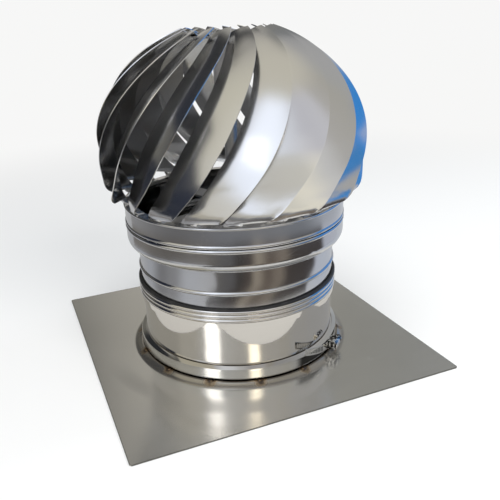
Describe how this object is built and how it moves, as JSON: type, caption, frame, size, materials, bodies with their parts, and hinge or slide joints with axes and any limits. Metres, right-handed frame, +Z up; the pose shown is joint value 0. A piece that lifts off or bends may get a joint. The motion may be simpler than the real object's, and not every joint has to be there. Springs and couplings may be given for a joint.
{
  "type": "rotary exhaust cowl",
  "caption": "Wind-driven rotary exhaust cowl: ball of twisted louvre blades turning on a beaded neck, plugged into a clamped flue stub on a square roof plate.",
  "frame": {"origin": "middle of the roof plate's underside, on the rotor's axis", "axes": "+Z up along the rotor's axis, +X and +Y along the plate's sides"},
  "size_m": [0.4, 0.4, 0.3945],
  "materials": {
    "blade_sheet": "satin rolled sheet, faint grain",
    "spun_sheet": "bright rolled sheet with drawn beads",
    "polished_stainless": "mirror-polished stainless",
    "plate_sheet": "satin flat sheet",
    "weld_metal": "heat-tinted tack welds",
    "seal_rubber": "matt black",
    "clamp_steel": "bright stainless strip",
    "fastener_steel": "zinc-bright fastener",
    "bracket_steel": "flat bar",
    "rivet_steel": "rivet",
    "axle_steel": "turned steel",
    "bearing_steel": "ground steel",
    "hub_metal": "turned",
    "cap_sheet": "pressed sheet"
  },
  "bodies": {
    "base": {"base_plate": "plate_sheet", "base_collar": "polished_stainless", "collar_welds": "weld_metal", "stub_pipe": "polished_stainless", "socket_seal": "seal_rubber", "clamp_band": "clamp_steel", "clamp_strap": "clamp_steel", "worm_housing": "clamp_steel"},
    "clamp_screw": {"worm_screw": "fastener_steel"},
    "head": {"neck": "spun_sheet", "lower_cross_bar": "bracket_steel", "upper_cross_bar": "bracket_steel", "bar_rivets": "rivet_steel", "axle": "axle_steel", "axle_nuts": "fastener_steel", "foot_washer": "fastener_steel", "bearing_spacer": "axle_steel", "lower_bearing_inner_ring": "bearing_steel", "upper_bearing_inner_ring": "bearing_steel"},
    "rotor": {"rotor_ring": "spun_sheet", "blade_01": "blade_sheet", "blade_02": "blade_sheet", "blade_03": "blade_sheet", "blade_04": "blade_sheet", "blade_05": "blade_sheet", "blade_06": "blade_sheet", "blade_07": "blade_sheet", "blade_08": "blade_sheet", "blade_09": "blade_sheet", "blade_10": "blade_sheet", "blade_11": "blade_sheet", "blade_12": "blade_sheet", "blade_13": "blade_sheet", "blade_14": "blade_sheet", "blade_15": "blade_sheet", "blade_16": "blade_sheet", "blade_17": "blade_sheet", "blade_18": "blade_sheet", "foot_rivets": "rivet_steel", "tip_rivets": "rivet_steel", "top_disc": "blade_sheet", "hub": "hub_metal", "hub_screws": "fastener_steel", "hub_cap": "cap_sheet", "circlip": "fastener_steel", "lower_bearing_outer_ring": "bearing_steel", "upper_bearing_outer_ring": "bearing_steel"},
    "lower_ball_set": {"lower_bearing_balls": "bearing_steel"},
    "upper_ball_set": {"upper_bearing_balls": "bearing_steel"}
  },
  "joints": [
    {"name": "head_lift", "type": "slide", "parent": "base", "child": "head", "axis": [0, 0, 1], "range_m": [0, 0.02]},
    {"name": "rotor_spin", "type": "hinge", "parent": "head", "child": "rotor", "pos_m": [0, 0, 0.331], "axis": [0, 0, 1], "continuous": true},
    {"name": "clamp_screw_turn", "type": "hinge", "parent": "base", "child": "clamp_screw", "pos_m": [0.08677, -0.10602, 0.0142], "axis": [0.7738, 0.6334, 0], "continuous": true},
    {"name": "lower_balls_roll", "type": "hinge", "parent": "head", "child": "lower_ball_set", "pos_m": [0, 0, 0.335], "axis": [0, 0, 1], "continuous": true},
    {"name": "upper_balls_roll", "type": "hinge", "parent": "head", "child": "upper_ball_set", "pos_m": [0, 0, 0.369], "axis": [0, 0, 1], "continuous": true}
  ],
  "couplings": [
    {"joint": "lower_balls_roll", "follows": "rotor_spin", "ratio": 0.619},
    {"joint": "upper_balls_roll", "follows": "rotor_spin", "ratio": 0.619}
  ]
}
